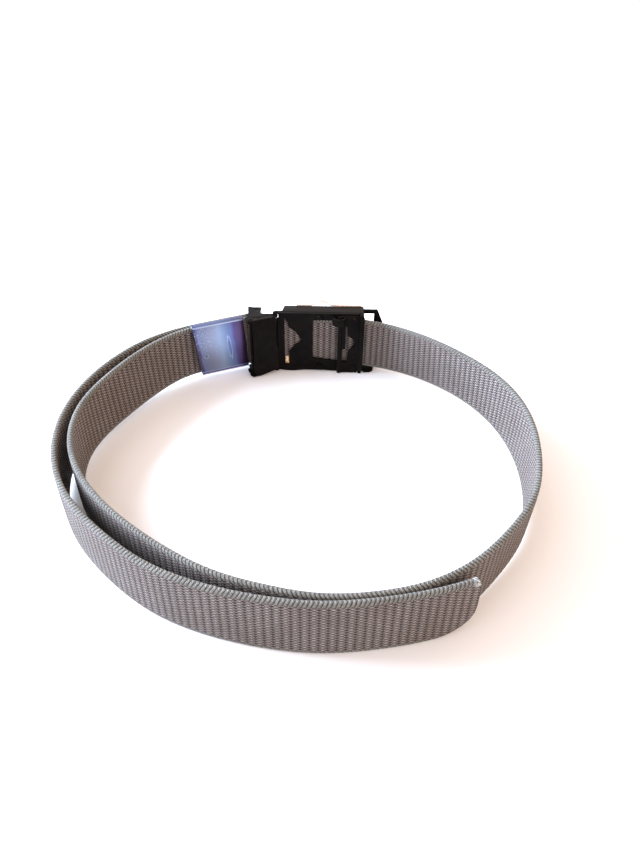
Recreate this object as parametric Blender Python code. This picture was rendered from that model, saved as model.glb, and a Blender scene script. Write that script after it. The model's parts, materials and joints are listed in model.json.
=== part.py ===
# Automatic buckle belt: one ribbed webbing strap with a metal tip, standing on its lower
# edge as a closed loop, with its buckle fastened at the back and its cut end left long.
#
# Millimetres below are turned to metres by MM. Inside the plan, +X runs along the buckle to
# the right as seen from inside the loop, +Y points from the front of the loop to the
# buckle, and +Z is up.

import bpy
import bmesh
import math
import numpy as np
from mathutils import Matrix, Vector

MM = 0.001

# Driving sizes of the webbing
STRAP_WIDTH = 38.0
STRAP_THICK = 3.0
STRAP_EDGE = 0.8            # corner taken off the woven edges
SECTION_STEP = 6.0          # distance between two sections of the swept strap
TOUCH_GAP = 0.3             # clearance between two pieces that touch

# The buckle's frame: an open channel with its flat face on the outside of the loop
FRAME_HEIGHT = 48.0
FRAME_WALL = 1.8
FRAME_LEFT = -26.5
FRAME_RIGHT = 29.4          # right end of the top wall
END_HIGH = 46.2             # top of the front face to the right of the top wall
FRONT_Y = 431.5             # outer flat face
FRONT_END_X = 43.6          # pointed right end of the front face
SLOT_LEFT, SLOT_RIGHT = 29.6, 37.0
SLOT_LOW, SLOT_HIGH = 5.5, 43.6

# The rear plate, with an arrow window and a wide window onto the strap
PLATE_THICK = 1.2
PLATE_LEFT, PLATE_RIGHT = -31.8, 26.2
PLATE_NOTCH = 4.2           # height of the two left corners cut away beside the coupling
PLATE_Y = 420.6             # face towards the inside of the loop
RIB_RADIUS = 1.2
LEG_LEFT, LEG_RIGHT, LEG_LOW = -26.3, -23.2, 6.0   # narrow lower leg of the arrow window

# The strap where it runs through the frame
CHANNEL_Y = 423.9           # middle of its thickness
CHANNEL_LIFT = 4.6

# The locking flap and its hinge
FLAP_Y = 419.4
FLAP_THICK = 1.2
FLAP_LOW, FLAP_HIGH = 0.3, 47.0
LIP_X = 13.0                # the narrow lip along the flap's free edge
LIP_RADIUS = 1.0
CURL_X, CURL_RADIUS = 12.2, 4.3   # the wider open curl at the lip's top end
CURL_LOW, CURL_HIGH = 41.0, 46.4
HINGE_X = 28.1
HINGE_LUG = 1.3
KNUCKLE_RADIUS = 1.9
PIN_RADIUS = 0.6
PIN_HOLE = 0.9

# The left half turns away from the frame by this angle. It has its own plan, with s along
# the strap and d away from the inside of the loop, from the inner face of the metal tip.
LEFT_ORIGIN = (-52.0, 418.0)
LEFT_ANGLE = math.radians(23.5)
TIP_LENGTH = 39.0           # along its top edge
TIP_SLANT_LEFT, TIP_SLANT_RIGHT = 3.8, 2.4   # how far its ends lean over that height
TIP_WALL = 0.6
TIP_LIFT = 6.6              # the strap's height above the floor inside the tip
TIP_DROP_COLUMNS = ("s", "drop")   # the strap sinks to the frame's height past the tip
TIP_DROPS = (
    (-34.0, 0.0),
    (-24.0, 0.0),
    (-14.0, 0.0),
    (-6.0, 0.0),
    (-2.5, 0.0),
    (-0.3, 0.15),
    (1.5, 0.55),
    (3.0, 0.9),
)
COUPLING = (-32.6, 422.0)
COUPLING_RADIUS = 1.1
LUG_RADIUS = 1.8            # round ends of the two walls about the coupling
BRACKET_WALL = 1.3
BRACKET_HIGH = 45.9         # top of the bracket's upper wall
BACK_IN, BACK_OUT = 12.3, 13.3   # the bracket's outer plate
BACK_HIGH = 42.4            # its top, beside the neck that joins it to the upper wall
TAB_LEFT, TAB_RIGHT, TAB_Y = -51.8, -43.0, 432.2   # the walls' tab, in the whole plan
LEDGE_Y = 423.4             # the walls' back edge beside the tab
RELEASE_LOW, RELEASE_HIGH = 0.8, 47.2
RELEASE_PIN = (0.6, -5.7)
RELEASE_CORNER = 4.0
RELEASE_LUG = 2.0
BAR = (9.6, 7.6)            # round bar that the strap turns back on
BAR_RADIUS = 1.1
BAR_END_RADIUS = 0.8
LAYER_B = 6.6               # middle of the layer that comes round the loop, beside the tip
LAYER_C = 10.3              # middle of the layer that leaves again outside it
LAYER_LIFT = 4.3

# The strap's middle line round the loop, from the buckle's right side to its left side:
# angle about the loop's centre, distance from it, height above the floor, and how far the
# top edge lies outside the bottom edge
LOOP_CENTRE = (0.0, 286.0)
LOOP_COLUMNS = ("angle_deg", "radius", "lift", "lean")
LOOP = (
    (60, 139.2, 3.9, -3.3),
    (45, 136.5, 3.7, -3.6),
    (30, 133.3, 3.3, -0.7),
    (15, 127.7, 2.4, 0.8),
    (0, 121.4, 1.6, 0.6),
    (-15, 115.7, 1.2, 1.6),
    (-30, 108.9, 0.8, 1.7),
    (-45, 105.2, 0.4, 0.9),
    (-60, 101.7, 0.0, 0.0),
    (-75, 97.8, 0.0, 0.0),
    (-90, 95.7, 0.0, 0.0),
    (-105, 94.9, 0.0, -0.5),
    (-120, 97.1, 0.0, -0.5),
    (-135, 101.2, 0.0, -0.3),
    (-150, 109.6, 0.5, 0.0),
    (-165, 123.1, 1.0, 0.0),
    (-180, 138.1, 1.7, 0.0),
    (-195, 147.7, 2.3, 0.0),
    (-210, 149.1, 3.3, 2.0),
    (-222, 151.4, 4.1, 1.8),
)
# The long cut end, from the buckle's left side round the outside to the front right
TAIL = (
    (-238, 153.8, 4.2, 0.0),
    (-225, 158.6, 4.1, 0.0),
    (-210, 158.8, 3.4, 0.0),
    (-195, 155.2, 2.5, 0.0),
    (-180, 147.4, 1.7, 0.0),
    (-165, 135.3, 1.0, -0.6),
    (-150, 122.2, 0.3, 0.0),
    (-135, 113.0, 0.0, 0.0),
    (-120, 105.5, 0.0, 0.0),
    (-105, 101.1, 0.0, 0.0),
    (-90, 100.2, 0.0, 0.0),
    (-75, 101.5, 0.0, 0.0),
    (-60, 106.7, 0.0, 0.0),
    (-54, 109.9, 0.0, 0.0),
    (-51, 111.7, 0.0, 0.0),
    (-49.4, 112.7, 0.0, 0.0),
    (-48.0, 113.4, 0.0, 0.0),
)
# The cut end is rounded: each corner is a quarter of an ellipse, (length, height)
LOW_CORNER = (22.0, 16.0)
TOP_CORNER = (3.0, 8.0)

# The loose clear film on the buckle's flat face
FILM_THICK = 0.4
FILM_LEFT, FILM_RIGHT = -18.0, 28.0
FILM_LOW, FILM_HIGH = 3.0, 48.6
BUBBLE_X, BUBBLE_WIDTH, BUBBLE_DEPTH = 0.0, 16.0, 4.0


# Plain helpers

def material(name, colour, roughness, metallic):
    made = bpy.data.materials.new(name)
    made.use_nodes = True
    shader = made.node_tree.nodes["Principled BSDF"]
    shader.inputs["Base Color"].default_value = (*colour, 1.0)
    shader.inputs["Roughness"].default_value = roughness
    shader.inputs["Metallic"].default_value = metallic
    return made


def object_from(name, mesh_data, finish, smooth_angle=None):
    """Closes a bmesh into one named object with its faces pointing out."""
    bmesh.ops.recalc_face_normals(mesh_data, faces=mesh_data.faces)
    mesh = bpy.data.meshes.new(name)
    mesh_data.to_mesh(mesh)
    mesh_data.free()
    mesh.transform(Matrix.Scale(MM, 4))
    if smooth_angle is not None:
        mesh.shade_smooth()
        mesh.set_sharp_from_angle(angle=math.radians(smooth_angle))
    made = bpy.data.objects.new(name, mesh)
    bpy.context.collection.objects.link(made)
    if finish is not None:
        mesh.materials.append(finish)
    return made


def prism(outline, low, high, axis="z"):
    """A flat outline pushed from low to high. Along z it is (x, y), along y it is (x, z)."""
    mesh_data = bmesh.new()
    if axis == "z":
        corners = [mesh_data.verts.new((a, b, low)) for a, b in outline]
        push = Vector((0.0, 0.0, high - low))
    else:
        corners = [mesh_data.verts.new((a, low, b)) for a, b in outline]
        push = Vector((0.0, high - low, 0.0))
    face = mesh_data.faces.new(corners)
    top = bmesh.ops.extrude_face_region(mesh_data, geom=[face])["geom"]
    moved = [v for v in top if isinstance(v, bmesh.types.BMVert)]
    bmesh.ops.translate(mesh_data, verts=moved, vec=push)
    return mesh_data


def box(low, high):
    return prism([(low[0], low[1]), (high[0], low[1]), (high[0], high[1]), (low[0], high[1])],
                 low[2], high[2])


def round_bar(centre, radius, low, high, axis="z", sides=20):
    turn = [2.0 * math.pi * i / sides for i in range(sides)]
    outline = [(centre[0] + radius * math.cos(a), centre[1] + radius * math.sin(a)) for a in turn]
    return prism(outline, low, high, axis)


def hide_tool(tool):
    tool.hide_render = True
    tool.display_type = "WIRE"


def combine(target, tool_mesh, operation):
    """Adds or takes away a helper solid by a Boolean that stays live."""
    tool = object_from(target.name + "_tool", tool_mesh, None)
    tool.parent = target
    hide_tool(tool)
    change = target.modifiers.new(operation.lower(), "BOOLEAN")
    change.operation = operation
    change.object = tool
    change.solver = "EXACT"


def place_left(piece):
    """Puts a piece that was drawn in the left half's own plan where that half lies."""
    piece.location = (LEFT_ORIGIN[0] * MM, LEFT_ORIGIN[1] * MM, 0.0)
    piece.rotation_euler = (0.0, 0.0, LEFT_ANGLE)


def left_point(s, d):
    along = Vector((math.cos(LEFT_ANGLE), math.sin(LEFT_ANGLE)))
    away = Vector((-math.sin(LEFT_ANGLE), math.cos(LEFT_ANGLE)))
    point = Vector(LEFT_ORIGIN) + along * s + away * d
    return point.x, point.y


def left_plan(point):
    """The left half's own (s, d) of a point of the whole plan."""
    offset = Vector(point) - Vector(LEFT_ORIGIN)
    along = Vector((math.cos(LEFT_ANGLE), math.sin(LEFT_ANGLE)))
    away = Vector((-math.sin(LEFT_ANGLE), math.cos(LEFT_ANGLE)))
    return offset.dot(along), offset.dot(away)


# The strap

def polar(row):
    angle, radius, lift, lean = row
    turn = math.radians(angle)
    return (LOOP_CENTRE[0] + radius * math.cos(turn),
            LOOP_CENTRE[1] + radius * math.sin(turn), lift, lean)


def strap_route():
    """Anchor points of the strap's middle line, from its metal tip to its cut end."""
    route = []
    tip_middle = TIP_WALL + TOUCH_GAP + STRAP_THICK / 2.0
    for s, drop in TIP_DROPS:
        route.append((*left_point(s, tip_middle), TIP_LIFT - drop, 0.0))
    for x in (-28.0, -14.0, 0.0, 14.0):
        route.append((x, CHANNEL_Y, CHANNEL_LIFT, 0.0))
    route += [(28.0, CHANNEL_Y - 0.2, 4.2, 0.0), (40.0, CHANNEL_Y - 0.5, 2.5, -0.4)]
    route += [polar(row) for row in LOOP]
    turn_radius = BAR_RADIUS + TOUCH_GAP + STRAP_THICK / 2.0
    bar_side = BAR[1] - turn_radius
    for s, towards_bar in ((-38.0, 0.0), (-24.0, 0.0), (-8.0, 0.0), (-1.0, 0.0), (4.0, 0.55), (7.0, 0.85)):
        d = LAYER_B + (bar_side - LAYER_B) * towards_bar
        route.append((*left_point(s, d), LAYER_LIFT, 0.0))
    for step in range(9):
        angle = math.pi * (step / 8.0 - 0.5)
        point = left_point(BAR[0] + turn_radius * math.cos(angle), BAR[1] + turn_radius * math.sin(angle))
        route.append((*point, LAYER_LIFT, 0.0))
    for s in (6.0, 1.0, -8.0):
        route.append((*left_point(s, LAYER_C), LAYER_LIFT, 0.0))
    route += [polar(row) for row in TAIL]
    return np.array(route)


def smooth_route(anchors, step):
    """Reads a natural cubic spline through the anchors at even steps of at most step."""
    spans = np.linalg.norm(np.diff(anchors[:, :2], axis=0), axis=1)
    place = np.concatenate(([0.0], np.cumsum(spans)))
    count = len(anchors)
    system = np.zeros((count, count))
    right = np.zeros_like(anchors)
    system[0, 0] = 1.0
    system[-1, -1] = 1.0
    for i in range(1, count - 1):
        before, after = spans[i - 1], spans[i]
        system[i, i - 1:i + 2] = (before, 2.0 * (before + after), after)
        right[i] = 6.0 * ((anchors[i + 1] - anchors[i]) / after - (anchors[i] - anchors[i - 1]) / before)
    bend = np.linalg.solve(system, right)
    points = []
    for i in range(count - 1):
        span = spans[i]
        pieces = max(1, math.ceil(span / step))
        for k in range(pieces + (i == count - 2)):
            b = k / pieces
            a = 1.0 - b
            bulge = (a ** 3 - a) * bend[i] + (b ** 3 - b) * bend[i + 1]
            points.append(a * anchors[i] + b * anchors[i + 1] + bulge * span * span / 6.0)
    return np.array(points), place


def strap_section(bottom, top):
    """Outline of the webbing across its length: (offset, height), with its corners taken off."""
    half = STRAP_THICK / 2.0
    cut = STRAP_EDGE
    return ((-half, bottom + cut), (-half + cut, bottom), (half - cut, bottom), (half, bottom + cut),
            (half, top - cut), (half - cut, top), (-half + cut, top), (-half, top - cut))


def corner_cut(left, corner):
    """Height that is missing at a corner of the cut end, at a distance from the very end."""
    length, height = corner
    near_end = max(0.0, 1.0 - left / length)
    return height * (1.0 - math.sqrt(1.0 - near_end * near_end))


def webbing_strap(finish):
    points, _ = smooth_route(strap_route(), SECTION_STEP)
    line = points[:, :2]
    tangents = np.gradient(line, axis=0)
    tangents /= np.linalg.norm(tangents, axis=1)[:, None]
    to_end = np.concatenate((np.cumsum(np.linalg.norm(np.diff(line, axis=0), axis=1)[::-1])[::-1], [0.0]))
    mesh_data = bmesh.new()
    rings = []
    for point, tangent, left in zip(points, tangents, to_end):
        x, y, lift, lean = point
        across = (tangent[1], -tangent[0])
        bottom = lift + corner_cut(left, LOW_CORNER)
        top = lift + STRAP_WIDTH - corner_cut(left, TOP_CORNER)
        ring = []
        for offset, height in strap_section(bottom, top):
            # travel is clockwise up to the bar and back again after it, so lean keeps its side
            out = offset - lean * ((height - lift) / STRAP_WIDTH - 0.5)
            ring.append(mesh_data.verts.new((x + across[0] * out, y + across[1] * out, height)))
        rings.append(ring)
    for first, second in zip(rings, rings[1:]):
        for i in range(len(first)):
            j = (i + 1) % len(first)
            mesh_data.faces.new((first[i], first[j], second[j], second[i]))
    mesh_data.faces.new(rings[0][::-1])
    mesh_data.faces.new(rings[-1])
    return object_from("webbing_strap", mesh_data, finish, smooth_angle=40.0)


def belt_tip(finish):
    """Metal sleeve on the strap's end, closed at its left end and open at its right."""
    thick = STRAP_THICK + 2.0 * (TIP_WALL + TOUCH_GAP)
    low = TIP_LIFT - TIP_WALL - TOUCH_GAP
    high = TIP_LIFT + STRAP_WIDTH + TIP_WALL + TOUCH_GAP
    face = [(-TIP_LENGTH + TIP_SLANT_LEFT, low), (-0.5, low), (-0.5 - TIP_SLANT_RIGHT, high), (-TIP_LENGTH, high)]
    sleeve = object_from("belt_tip", prism(face, 0.0, thick, "y"), finish)
    room = [(-TIP_LENGTH + TIP_SLANT_LEFT + TIP_WALL, low + TIP_WALL), (5.0, low + TIP_WALL),
            (5.0, high - TIP_WALL), (-TIP_LENGTH + TIP_WALL, high - TIP_WALL)]
    combine(sleeve, prism(room, TIP_WALL, thick - TIP_WALL, "y"), "DIFFERENCE")
    place_left(sleeve)
    return sleeve


# The left half

def left_bracket(finish):
    """Two walls, held apart by an outer plate, that carry the bar and the release plate."""
    lug = left_plan(COUPLING)
    wall = [(-1.7, -7.2), (17.6, -7.2), (lug[0], lug[1] - LUG_RADIUS), (lug[0], lug[1] + LUG_RADIUS),
            left_plan((-36.3, LEDGE_Y)), left_plan((TAB_RIGHT, LEDGE_Y)), left_plan((TAB_RIGHT, TAB_Y)),
            left_plan((TAB_LEFT, TAB_Y)), left_plan((TAB_LEFT, LEDGE_Y)), (1.3, 4.8),
            (0.6, 3.9), (0.6, 0.5), (-1.7, -0.5)]
    low_wall = FRAME_HEIGHT - BRACKET_HIGH
    made = object_from("left_bracket", prism(wall, BRACKET_HIGH - BRACKET_WALL, BRACKET_HIGH), finish)
    combine(made, prism(wall, low_wall, low_wall + BRACKET_WALL), "UNION")
    back = [(5.0, low_wall), (7.6, low_wall), (7.6, FRAME_HEIGHT - BACK_HIGH), (14.0, FRAME_HEIGHT - BACK_HIGH),
            (14.0, BACK_HIGH), (7.6, BACK_HIGH), (7.6, BRACKET_HIGH), (5.0, BRACKET_HIGH)]
    combine(made, prism(back, BACK_IN, BACK_OUT, "y"), "UNION")
    for low in (low_wall, BRACKET_HIGH - BRACKET_WALL):
        combine(made, box((5.0, 10.5, low), (7.6, BACK_OUT, low + BRACKET_WALL)), "UNION")
    for low in (low_wall, BRACKET_HIGH - BRACKET_WALL):
        combine(made, round_bar(lug, LUG_RADIUS, low, low + BRACKET_WALL), "UNION")
    holes = ((lug, COUPLING_RADIUS + TOUCH_GAP), (RELEASE_PIN, COUPLING_RADIUS + TOUCH_GAP),
             (BAR, BAR_END_RADIUS + TOUCH_GAP))
    for centre, radius in holes:
        combine(made, round_bar(centre, radius, -5.0, FRAME_HEIGHT + 5.0), "DIFFERENCE")
    place_left(made)
    return made


def bracket_bar(finish):
    """Bar with thinner ends that sit in the bracket's two walls."""
    inside_low = FRAME_HEIGHT - BRACKET_HIGH + BRACKET_WALL + TOUCH_GAP
    made = object_from("bracket_bar", round_bar(BAR, BAR_RADIUS, inside_low, FRAME_HEIGHT - inside_low),
                       finish, smooth_angle=40.0)
    combine(made, round_bar(BAR, BAR_END_RADIUS, FRAME_HEIGHT - BRACKET_HIGH, BRACKET_HIGH), "UNION")
    place_left(made)
    return made


def release_plate(finish):
    """Flat plate on the inside of the loop, hinged at its left end by two small ears."""
    left = RELEASE_PIN[0] + 0.4
    turn = [math.radians(180.0 + 15.0 * i) for i in range(7)]
    corner = [(left + RELEASE_CORNER * (1.0 + math.cos(a)), RELEASE_LOW + RELEASE_CORNER * (1.0 + math.sin(a)))
              for a in turn]
    step = corner + [(19.3, RELEASE_LOW + 3.0), (19.3, 19.0), (18.1, 27.0), (18.1, RELEASE_HIGH),
                     (left, RELEASE_HIGH)]
    made = object_from("release_plate", prism(step, -9.0, -7.8, "y"), finish)
    for low, high in ((RELEASE_LOW, RELEASE_LOW + 1.0), (RELEASE_HIGH - 1.0, RELEASE_HIGH)):
        combine(made, box((RELEASE_PIN[0] - 1.0, -8.6, low), (5.0, RELEASE_PIN[1], high)), "UNION")
        combine(made, round_bar(RELEASE_PIN, RELEASE_LUG, low, high), "UNION")
    combine(made, round_bar(RELEASE_PIN, COUPLING_RADIUS + TOUCH_GAP, -5.0, FRAME_HEIGHT + 5.0),
            "DIFFERENCE")
    place_left(made)
    return made


def release_pin(finish):
    made = object_from("release_pin", round_bar(RELEASE_PIN, COUPLING_RADIUS, RELEASE_LOW - 0.3, RELEASE_HIGH + 0.3),
                       finish, smooth_angle=40.0)
    place_left(made)
    return made


def coupling_pin(name, low, finish):
    """Short pin that holds one wall of the frame and one of the bracket together."""
    length = FRAME_WALL + BRACKET_WALL + TOUCH_GAP
    return object_from(name, round_bar(COUPLING, COUPLING_RADIUS, low, low + length), finish,
                       smooth_angle=40.0)


# The frame and what it carries

def buckle_frame(finish):
    """Open channel: a flat front face with a strap slot, and a wall along its top and bottom."""
    front = [(FRAME_LEFT, 0.0), (38.7, 0.0), (FRONT_END_X, 12.0), (FRONT_END_X, 36.0), (39.3, END_HIGH),
             (FRAME_RIGHT, END_HIGH), (FRAME_RIGHT, FRAME_HEIGHT), (FRAME_LEFT, FRAME_HEIGHT)]
    made = object_from("buckle_frame", prism(front, FRONT_Y - FRAME_WALL, FRONT_Y, "y"), finish)
    back = PLATE_Y + PLATE_THICK + TOUCH_GAP
    left_end = [(FRAME_LEFT, FRONT_Y), (FRAME_LEFT - 1.5, back + 2.0), (FRAME_LEFT, back)]
    low_end = [(30.7, back), (30.9, FLAP_Y + 0.2), (35.4, FLAP_Y + 0.4), (37.8, FLAP_Y + 2.2),
               (38.7, back + 5.0), (38.7, FRONT_Y)]
    high_end = [(FRAME_RIGHT - 1.4, back), (FRAME_RIGHT, back + 2.0), (FRAME_RIGHT, FRONT_Y)]
    for low, right_end in ((0.0, low_end), (FRAME_HEIGHT - FRAME_WALL, high_end)):
        high = low + FRAME_WALL
        combine(made, prism(left_end + right_end, low, high), "UNION")
        neck_low = (COUPLING[0], back)
        combine(made, box((neck_low[0], neck_low[1], low), (FRAME_LEFT + 1.0, back + 1.9, high)), "UNION")
        combine(made, round_bar(COUPLING, LUG_RADIUS, low, high), "UNION")
        ear_left, ear_right = HINGE_X - HINGE_LUG, HINGE_X + HINGE_LUG
        combine(made, box((ear_left, FLAP_Y, low), (ear_right, back + 1.0, high)), "UNION")
        combine(made, round_bar((HINGE_X, FLAP_Y), HINGE_LUG, low, high), "UNION")
    slot = [(SLOT_LEFT, SLOT_LOW), (SLOT_RIGHT, SLOT_LOW), (SLOT_RIGHT, SLOT_HIGH), (SLOT_LEFT, SLOT_HIGH)]
    combine(made, prism(slot, FRONT_Y - 5.0, FRONT_Y + 5.0, "y"), "DIFFERENCE")
    combine(made, round_bar(COUPLING, COUPLING_RADIUS + TOUCH_GAP, -5.0, FRAME_HEIGHT + 5.0), "DIFFERENCE")
    combine(made, round_bar((HINGE_X, FLAP_Y), PIN_HOLE, -5.0, FRAME_HEIGHT + 5.0), "DIFFERENCE")
    return made


def rear_plate(finish):
    notch_x = COUPLING[0] + LUG_RADIUS + TOUCH_GAP
    outline = [(PLATE_LEFT, PLATE_NOTCH), (notch_x, PLATE_NOTCH), (notch_x, 1.2), (-26.2, 0.2), (-20.0, 0.0),
               (-14.0, 0.9), (-8.0, 1.7), (-2.0, 1.3), (8.0, 0.7), (16.0, 0.2), (PLATE_RIGHT, 0.0),
               (PLATE_RIGHT, FRAME_HEIGHT), (notch_x, FRAME_HEIGHT), (notch_x, FRAME_HEIGHT - PLATE_NOTCH),
               (PLATE_LEFT, FRAME_HEIGHT - PLATE_NOTCH)]
    arrow = [(LEG_LEFT, LEG_LOW), (LEG_RIGHT, LEG_LOW), (-23.0, 16.9), (-19.7, 21.2), (-15.0, 25.1),
             (-14.6, 27.0), (-19.2, 34.2), (-23.1, 36.6), (-24.0, 40.6), (LEG_LEFT, 43.8)]
    wide = [(-6.2, 11.5), (11.9, 9.0), (23.9, 9.0), (23.9, 42.7), (-6.2, 42.7)]
    made = object_from("rear_plate", prism(outline, PLATE_Y, PLATE_Y + PLATE_THICK, "y"), finish)
    for window in (arrow, wide):
        combine(made, prism(window, PLATE_Y - 3.0, PLATE_Y + 5.0, "y"), "DIFFERENCE")
    combine(made, round_bar((PLATE_LEFT + RIB_RADIUS, PLATE_Y + 0.1), RIB_RADIUS, 4.0, 44.0), "UNION")
    for x, z in PLATE_RIVETS:
        combine(made, round_bar((x, z), RIVET_SHANK + TOUCH_GAP, PLATE_Y - 3.0, PLATE_Y + 5.0, "y"),
                "DIFFERENCE")
    return made


def spring_end(finish):
    """End of the buckle's flat spring, which shows in the leg of the arrow window."""
    low = (LEG_LEFT + TOUCH_GAP, PLATE_Y + 0.3, LEG_LOW + TOUCH_GAP)
    high = (LEG_RIGHT - TOUCH_GAP, PLATE_Y + 1.2, LEG_LOW + 6.1)
    return object_from("spring_end", box(low, high), finish)


def flap_outline():
    """The flap seen from above: a narrow bent lip, then a flat plate up to the hinge."""
    arc = [math.radians(185.0 + 175.0 * i / 14.0) for i in range(15)]
    inner = LIP_RADIUS - FLAP_THICK / 2.0
    outer = LIP_RADIUS + FLAP_THICK / 2.0
    outside = [(LIP_X + outer * math.cos(a), FLAP_Y + outer * math.sin(a)) for a in arc[:-2]]
    inside = [(LIP_X + inner * math.cos(a), FLAP_Y + inner * math.sin(a)) for a in arc]
    face = FLAP_Y - FLAP_THICK / 2.0
    back = FLAP_Y + FLAP_THICK / 2.0
    plate_near = [(LIP_X + outer + 0.4, face), (HINGE_X, face)]
    plate_far = [(HINGE_X, back), (LIP_X + inner, back)]
    return outside + plate_near + plate_far + inside[::-1]


def curl_outline():
    """The open curl seen from above: a strip bent round half a turn, standing off the flap."""
    arc = [math.radians(180.0 + 12.0 * i) for i in range(16)]
    sides = []
    for radius in (CURL_RADIUS + FLAP_THICK / 2.0, CURL_RADIUS - FLAP_THICK / 2.0):
        sides.append([(CURL_X + radius * math.cos(a), FLAP_Y + radius * math.sin(a)) for a in arc])
    return sides[0] + sides[1][::-1]


def lock_flap(finish):
    """Flap that grips the strap: a lip to lift, a window with a tongue, and a hinge knuckle."""
    made = object_from("lock_flap", prism(flap_outline(), FLAP_LOW, FLAP_HIGH), finish, smooth_angle=30.0)
    knuckle_low = FRAME_WALL + TOUCH_GAP + 0.1
    knuckle_high = FRAME_HEIGHT - knuckle_low
    window = [(14.8, 9.3), (18.3, 9.3), (19.3, 18.9), (23.4, 24.4), (23.4, 27.2), (18.3, 32.5),
              (18.3, 39.4), (17.1, 39.4), (17.1, 20.4), (14.8, 20.4)]
    combine(made, prism(window, FLAP_Y - 5.0, FLAP_Y + 5.0, "y"), "DIFFERENCE")
    combine(made, prism(curl_outline(), CURL_LOW, CURL_HIGH), "UNION")
    for low, high in ((-5.0, knuckle_low), (knuckle_high, FRAME_HEIGHT + 5.0)):
        combine(made, box((HINGE_X - 2.1, FLAP_Y - 5.0, low), (HINGE_X + 5.0, FLAP_Y + 5.0, high)),
                "DIFFERENCE")
    combine(made, round_bar((HINGE_X, FLAP_Y), KNUCKLE_RADIUS, knuckle_low, knuckle_high), "UNION")
    combine(made, round_bar((HINGE_X, FLAP_Y), PIN_HOLE, -5.0, FRAME_HEIGHT + 5.0), "DIFFERENCE")
    for x, z in FLAP_RIVETS:
        combine(made, round_bar((x, z), RIVET_SHANK + TOUCH_GAP, FLAP_Y - 5.0, FLAP_Y + 5.0, "y"),
                "DIFFERENCE")
    return made


def flap_pin(finish):
    return object_from("flap_pin", round_bar((HINGE_X, FLAP_Y), PIN_RADIUS, 0.2, FRAME_HEIGHT + 0.4),
                       finish, smooth_angle=40.0)


# Rivets: a low head on the near face and a shank through the plate
RIVET_HEAD = 1.9
RIVET_SHANK = 1.0
RIVET_RISE = 0.8
PLATE_RIVETS = ((-1.5, 45.4), (-1.5, 5.0))
FLAP_RIVETS = ((23.5, 44.8), (23.5, 5.2))


def rivet(name, x, z, face, thickness, finish):
    head_back = face - TOUCH_GAP
    made = object_from(name, round_bar((x, z), RIVET_SHANK, head_back - 0.2, face + thickness, "y", 16),
                       finish, smooth_angle=40.0)
    head = round_bar((x, z), RIVET_HEAD, head_back - RIVET_RISE, head_back, "y", 16)
    near_rim = [v for v in head.verts if v.co.y < head_back - 0.5 * RIVET_RISE]
    bmesh.ops.scale(head, vec=(0.7, 1.0, 0.7), verts=near_rim,
                    space=Matrix.Translation((-x, 0.0, -z)))
    combine(made, head, "UNION")
    return made


def front_film(finish):
    """Clear film on the flat face, lifted off it in a bubble at the top edge."""
    columns = 24
    rows = 4
    near = FRONT_Y + TOUCH_GAP
    mesh_data = bmesh.new()
    sheets = []
    for thick in (0.0, FILM_THICK):
        sheet = []
        for j in range(rows + 1):
            up = j / rows
            for i in range(columns + 1):
                x = FILM_LEFT + (FILM_RIGHT - FILM_LEFT) * i / columns
                reach = min(1.0, abs(x - BUBBLE_X) / (BUBBLE_WIDTH / 2.0))
                bump = 0.5 + 0.5 * math.cos(math.pi * reach)
                z = FILM_LOW + (FILM_HIGH - FILM_LOW) * up + 1.4 * bump * up ** 3
                y = near + thick + BUBBLE_DEPTH * bump * up ** 3
                sheet.append(mesh_data.verts.new((x, y, z)))
        sheets.append(sheet)
    wide = columns + 1
    for sheet in sheets:
        for j in range(rows):
            for i in range(columns):
                k = j * wide + i
                mesh_data.faces.new((sheet[k], sheet[k + 1], sheet[k + wide + 1], sheet[k + wide]))
    rim = list(range(wide))
    rim += [j * wide + columns for j in range(1, rows + 1)]
    rim += [rows * wide + i for i in range(columns - 1, -1, -1)]
    rim += [j * wide for j in range(rows - 1, 0, -1)]
    for a, b in zip(rim, rim[1:] + rim[:1]):
        mesh_data.faces.new((sheets[0][a], sheets[0][b], sheets[1][b], sheets[1][a]))
    return object_from("front_film", mesh_data, finish, smooth_angle=60.0)


def centre_on_floor(pieces):
    """Moves the whole belt so that its box is centred over the origin and stands on z = 0."""
    holder = bpy.data.objects.new("belt", None)
    bpy.context.collection.objects.link(holder)
    for piece in pieces:
        piece.parent = holder
    bpy.context.view_layer.update()
    graph = bpy.context.evaluated_depsgraph_get()
    corners = []
    for piece in pieces:
        solid = piece.evaluated_get(graph)
        corners += [solid.matrix_world @ vertex.co for vertex in solid.data.vertices]
    low = [min(c[i] for c in corners) for i in range(3)]
    high = [max(c[i] for c in corners) for i in range(3)]
    holder.location = (-(low[0] + high[0]) / 2.0, -(low[1] + high[1]) / 2.0, -low[2])


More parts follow.
